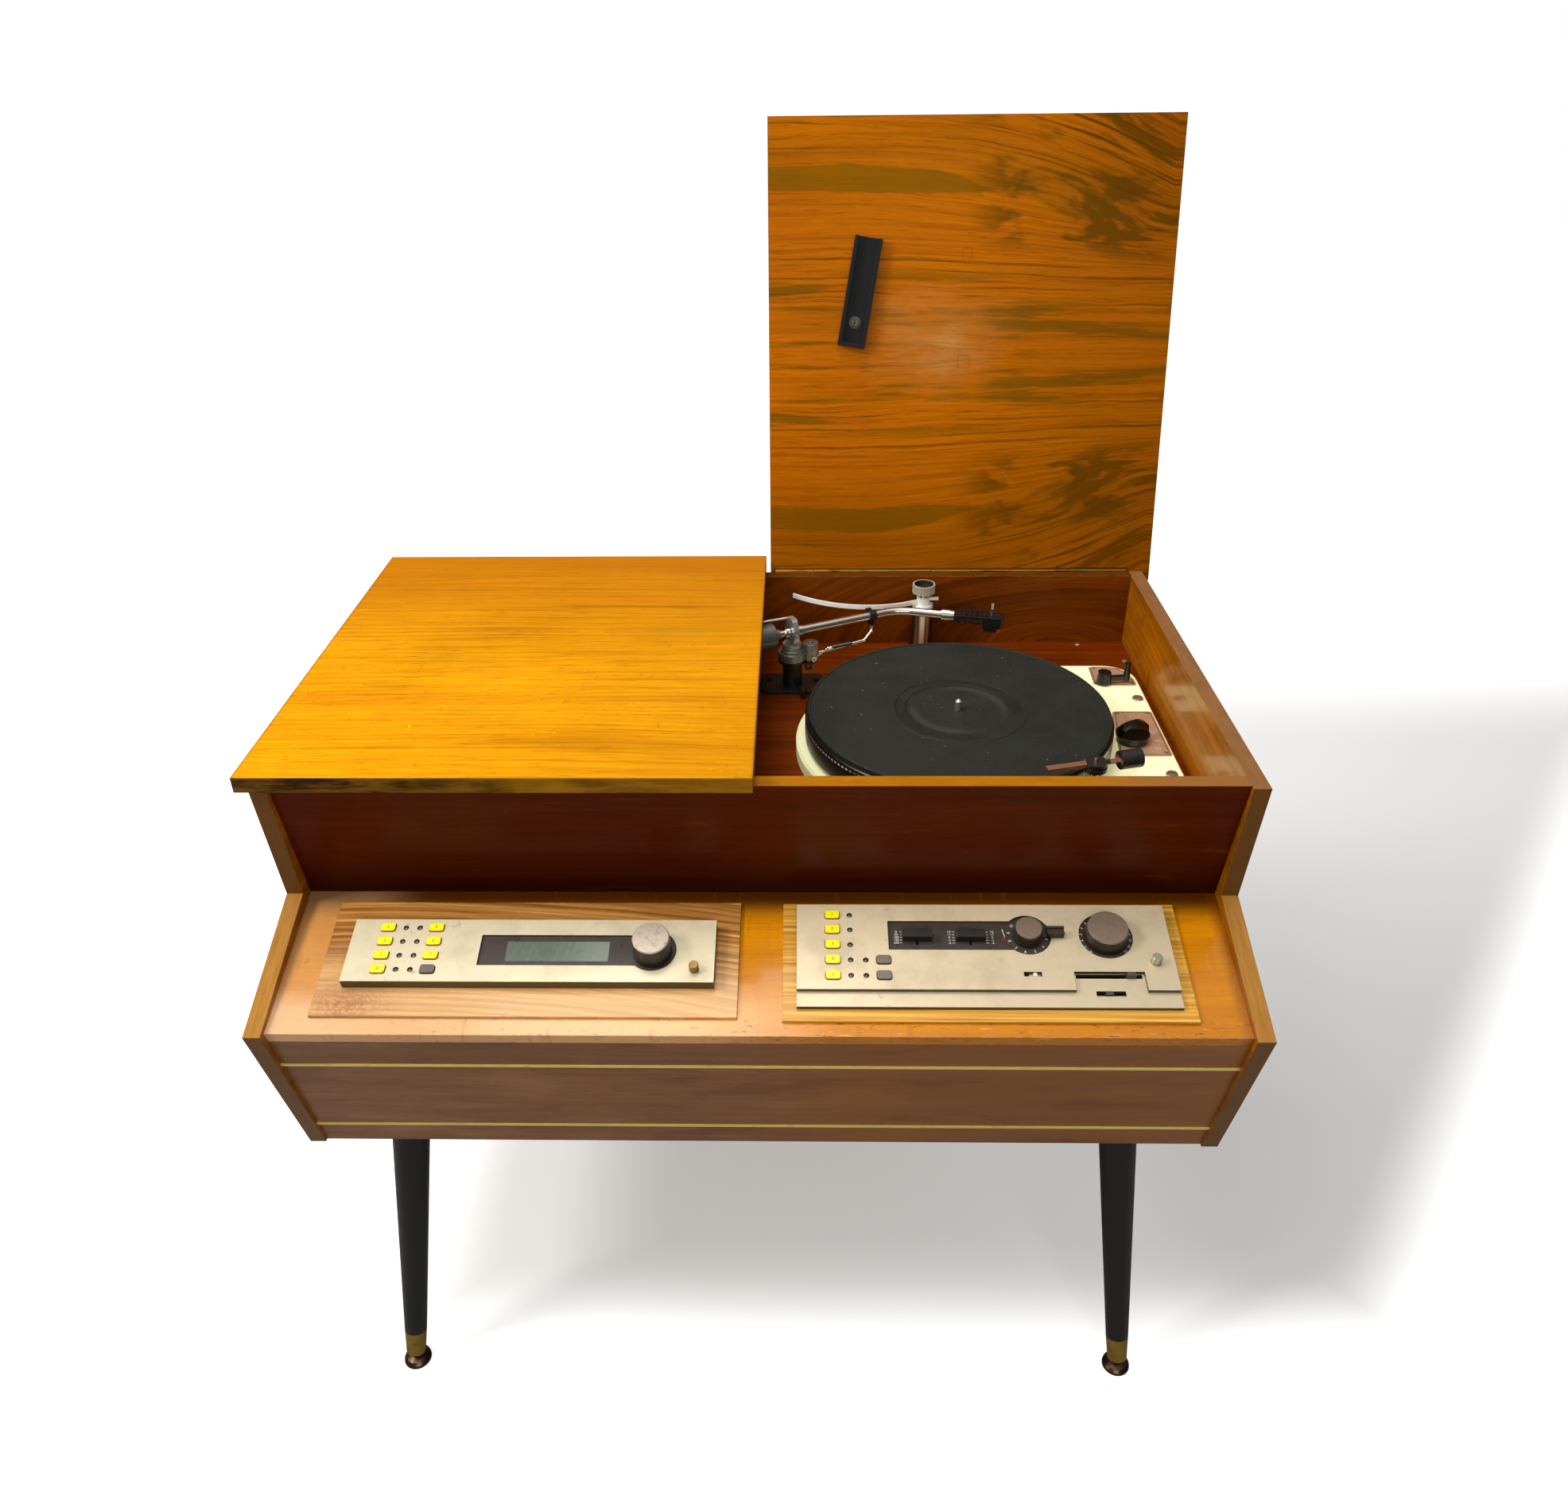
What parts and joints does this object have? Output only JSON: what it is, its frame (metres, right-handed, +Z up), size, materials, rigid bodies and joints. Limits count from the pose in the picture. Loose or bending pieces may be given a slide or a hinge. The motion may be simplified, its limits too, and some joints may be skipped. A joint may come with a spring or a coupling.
{
  "type": "audio console cabinet",
  "caption": "Walnut audio console on splayed legs with a sloping control desk, lift-up lids over a deep well, an idler-drive record deck and a tonearm.",
  "frame": {"origin": "middle of the whole object's box on the floor, with the right lid open and the left lid closed", "axes": "+Z up; +X to the right as seen by someone at the controls; +Y from the controls towards the back"},
  "size_m": [0.8752, 0.7038, 1.1242],
  "materials": {
    "walnut": "oiled walnut veneer with a satin sheen",
    "walnut_gloss": "glossy golden walnut veneer",
    "inner_board": "plain board",
    "black_lacquer": "satin black lacquered wood",
    "brass": "aged brass",
    "champagne": "satin champagne anodised",
    "steel": "plated steel",
    "chrome": "polished chrome",
    "cream_enamel": "cream enamel",
    "platter_metal": "black turned rim",
    "black_plastic": "black moulded plastic",
    "black_rubber": "ribbed black rubber",
    "bronze_plate": "copper-toned anodised",
    "knob_metal": "bronze-grey anodised",
    "yellow_plastic": "yellow button plastic",
    "grey_plastic": "grey button plastic",
    "white_plastic": "white plastic",
    "window_plastic": "dark window",
    "grey_metal": "grey painted metal",
    "glide_bronze": "dark bronze"
  },
  "bodies": {
    "cabinet": {"side_panel_left": "walnut", "side_panel_right": "walnut", "upper_fascia": "walnut", "control_desk": "walnut", "lower_fascia": "walnut", "brass_strips": "brass", "base_board": "inner_board", "back_panel": "inner_board", "rear_wall": "walnut", "motor_board": "walnut", "legs": "black_lacquer", "leg_ferrules": "brass", "leg_glides": "glide_bronze", "hinge_frame_leaves": "brass", "unit_surrounds": "walnut", "unit_cases": "steel", "unit_windows": "window_plastic", "tuner_front": "champagne", "preamp_front": "champagne", "chassis_plate": "cream_enamel", "chassis_trim": "bronze_plate", "drive_motor": "grey_metal", "arm_pedestal": "grey_metal", "arm_rest": "chrome", "sweep_post": "chrome", "cleaner_post": "chrome"},
    "lid_left": {"lid_left": "walnut_gloss", "hinge_leaf_left": "brass"},
    "lid_right": {"lid_right": "walnut_gloss", "hinge_leaf_right": "brass"},
    "lid_clip": {"lid_clip": "black_plastic"},
    "tuning_knob": {"tuning_knob": "knob_metal"},
    "tuner_power_button": {"tuner_power_button": "brass"},
    "preset_buttons": {"preset_buttons": "yellow_plastic"},
    "mono_button": {"mono_button": "grey_plastic"},
    "volume_knob": {"volume_knob": "knob_metal"},
    "filter_knob": {"filter_knob": "knob_metal"},
    "filter_lever": {"filter_lever": "knob_metal"},
    "bass_slider": {"bass_slider": "black_plastic"},
    "tilt_slider": {"tilt_slider": "black_plastic"},
    "balance_slider": {"balance_slider": "knob_metal"},
    "trim_slider": {"trim_slider": "knob_metal"},
    "mute_slider": {"mute_slider": "white_plastic"},
    "preamp_power_button": {"preamp_power_button": "steel"},
    "source_buttons": {"source_buttons": "yellow_plastic"},
    "monitor_buttons": {"monitor_buttons": "grey_plastic"},
    "motor_pulley": {"motor_pulley": "brass"},
    "idler_wheel": {"idler_wheel": "black_rubber"},
    "platter": {"platter": "platter_metal", "platter_mat": "black_rubber"},
    "speed_knob": {"speed_knob": "black_plastic"},
    "start_lever": {"start_lever": "black_plastic"},
    "arm_yoke": {"arm_yoke": "steel"},
    "tonearm": {"arm_tube": "chrome", "headshell": "black_plastic", "cartridge": "black_plastic", "counterweight": "steel"},
    "cue_lever": {"cue_lever": "chrome"},
    "sweep_arm": {"sweep_arm": "chrome"},
    "cleaner_arm": {"cleaner_arm": "black_plastic"}
  },
  "joints": [
    {"name": "left_lid_hinge", "type": "hinge", "parent": "cabinet", "child": "lid_left", "pos_m": [0, 0.23111, 0.662], "axis": [-1, 0, 0], "range_deg": [0, 103]},
    {"name": "right_lid_hinge", "type": "hinge", "parent": "cabinet", "child": "lid_right", "pos_m": [0, 0.23111, 0.662], "axis": [-1, 0, 0], "range_deg": [-102.98, 0]},
    {"name": "lid_clip_turn", "type": "hinge", "parent": "lid_right", "child": "lid_clip", "pos_m": [0.0963, 0.29207, 0.92605], "axis": [0, -0.9744, 0.225], "range_deg": [-30, 30]},
    {"name": "platter_spin", "type": "hinge", "parent": "cabinet", "child": "platter", "pos_m": [0.193, -0.03194, 0.5965], "axis": [0, 0, 1], "continuous": true},
    {"name": "idler_spin", "type": "hinge", "parent": "cabinet", "child": "idler_wheel", "pos_m": [0.28859, 0.03499, 0.6015], "axis": [0, 0, 1], "continuous": true},
    {"name": "motor_pulley_spin", "type": "hinge", "parent": "cabinet", "child": "motor_pulley", "pos_m": [0.26214, 0.01647, 0.6015], "axis": [0, 0, 1], "continuous": true},
    {"name": "speed_knob_turn", "type": "hinge", "parent": "cabinet", "child": "speed_knob", "pos_m": [0.366, -0.03994, 0.6035], "axis": [0, 0, 1], "range_deg": [-40, 40]},
    {"name": "start_lever_turn", "type": "hinge", "parent": "cabinet", "child": "start_lever", "pos_m": [0.3629, 0.08196, 0.5985], "axis": [0, 0, 1], "range_deg": [-50, 0]},
    {"name": "arm_swing", "type": "hinge", "parent": "cabinet", "child": "arm_yoke", "pos_m": [0.0285, 0.10556, 0.6283], "axis": [0, 0, 1], "range_deg": [-34, 0]},
    {"name": "arm_lift", "type": "hinge", "parent": "arm_yoke", "child": "tonearm", "pos_m": [0.0285, 0.10556, 0.6445], "axis": [0.4305, -0.9026, 0], "range_deg": [0, 8]},
    {"name": "cue_lever_turn", "type": "hinge", "parent": "cabinet", "child": "cue_lever", "pos_m": [0.052, 0.09706, 0.617], "axis": [0, 1, 0], "range_deg": [0, 24]},
    {"name": "sweep_swing", "type": "hinge", "parent": "cabinet", "child": "sweep_arm", "pos_m": [0.1773, 0.20066, 0.631], "axis": [0, 0, 1], "range_deg": [-3, 10]},
    {"name": "cleaner_swing", "type": "hinge", "parent": "cabinet", "child": "cleaner_arm", "pos_m": [0.298, -0.16994, 0.64], "axis": [0, 0, 1], "range_deg": [-45, 15]},
    {"name": "tuning_turn", "type": "hinge", "parent": "cabinet", "child": "tuning_knob", "pos_m": [-0.0912, -0.27425, 0.51802], "axis": [0, -0.2756, 0.9613], "continuous": true},
    {"name": "volume_turn", "type": "hinge", "parent": "cabinet", "child": "volume_knob", "pos_m": [0.3041, -0.25658, 0.521], "axis": [0, -0.2756, 0.9613], "range_deg": [-150, 150]},
    {"name": "filter_turn", "type": "hinge", "parent": "cabinet", "child": "filter_knob", "pos_m": [0.2361, -0.25655, 0.52413], "axis": [0, -0.2756, 0.9613], "range_deg": [-60, 60]},
    {"name": "filter_lever_turn", "type": "hinge", "parent": "cabinet", "child": "filter_lever", "pos_m": [0.2361, -0.25599, 0.52221], "axis": [0, -0.2756, 0.9613], "range_deg": [-40, 40]},
    {"name": "bass_slide", "type": "slide", "parent": "cabinet", "child": "bass_slider", "axis": [0, 0.9613, 0.2756], "range_m": [-0.006, 0.006]},
    {"name": "tilt_slide", "type": "slide", "parent": "cabinet", "child": "tilt_slider", "axis": [0, 0.9613, 0.2756], "range_m": [-0.006, 0.006]},
    {"name": "balance_slide", "type": "slide", "parent": "cabinet", "child": "balance_slider", "axis": [1, 0, 0], "range_m": [-0.042, 0.005]},
    {"name": "trim_slide", "type": "slide", "parent": "cabinet", "child": "trim_slider", "axis": [1, 0, 0], "range_m": [-0.0078, 0.0108]},
    {"name": "mute_slide", "type": "slide", "parent": "cabinet", "child": "mute_slider", "axis": [1, 0, 0], "range_m": [-0.0046, 0]},
    {"name": "preset_press", "type": "slide", "parent": "cabinet", "child": "preset_buttons", "axis": [0, 0.2756, -0.9613], "range_m": [0, 0.0014], "stiffness_N_per_m": 150, "springref_m": -0.004},
    {"name": "mono_press", "type": "slide", "parent": "cabinet", "child": "mono_button", "axis": [0, 0.2756, -0.9613], "range_m": [0, 0.0014], "stiffness_N_per_m": 150, "springref_m": -0.004},
    {"name": "source_press", "type": "slide", "parent": "cabinet", "child": "source_buttons", "axis": [0, 0.2756, -0.9613], "range_m": [0, 0.0014], "stiffness_N_per_m": 150, "springref_m": -0.004},
    {"name": "monitor_press", "type": "slide", "parent": "cabinet", "child": "monitor_buttons", "axis": [0, 0.2756, -0.9613], "range_m": [0, 0.0014], "stiffness_N_per_m": 150, "springref_m": -0.004},
    {"name": "tuner_power_press", "type": "slide", "parent": "cabinet", "child": "tuner_power_button", "axis": [0, 0.2756, -0.9613], "range_m": [0, 0.003], "stiffness_N_per_m": 150, "springref_m": -0.004},
    {"name": "preamp_power_press", "type": "slide", "parent": "cabinet", "child": "preamp_power_button", "axis": [0, 0.2756, -0.9613], "range_m": [0, 0.003], "stiffness_N_per_m": 150, "springref_m": -0.004}
  ],
  "couplings": [
    {"joint": "idler_spin", "follows": "platter_spin", "ratio": 5.68},
    {"joint": "motor_pulley_spin", "follows": "platter_spin", "ratio": -20.286}
  ]
}
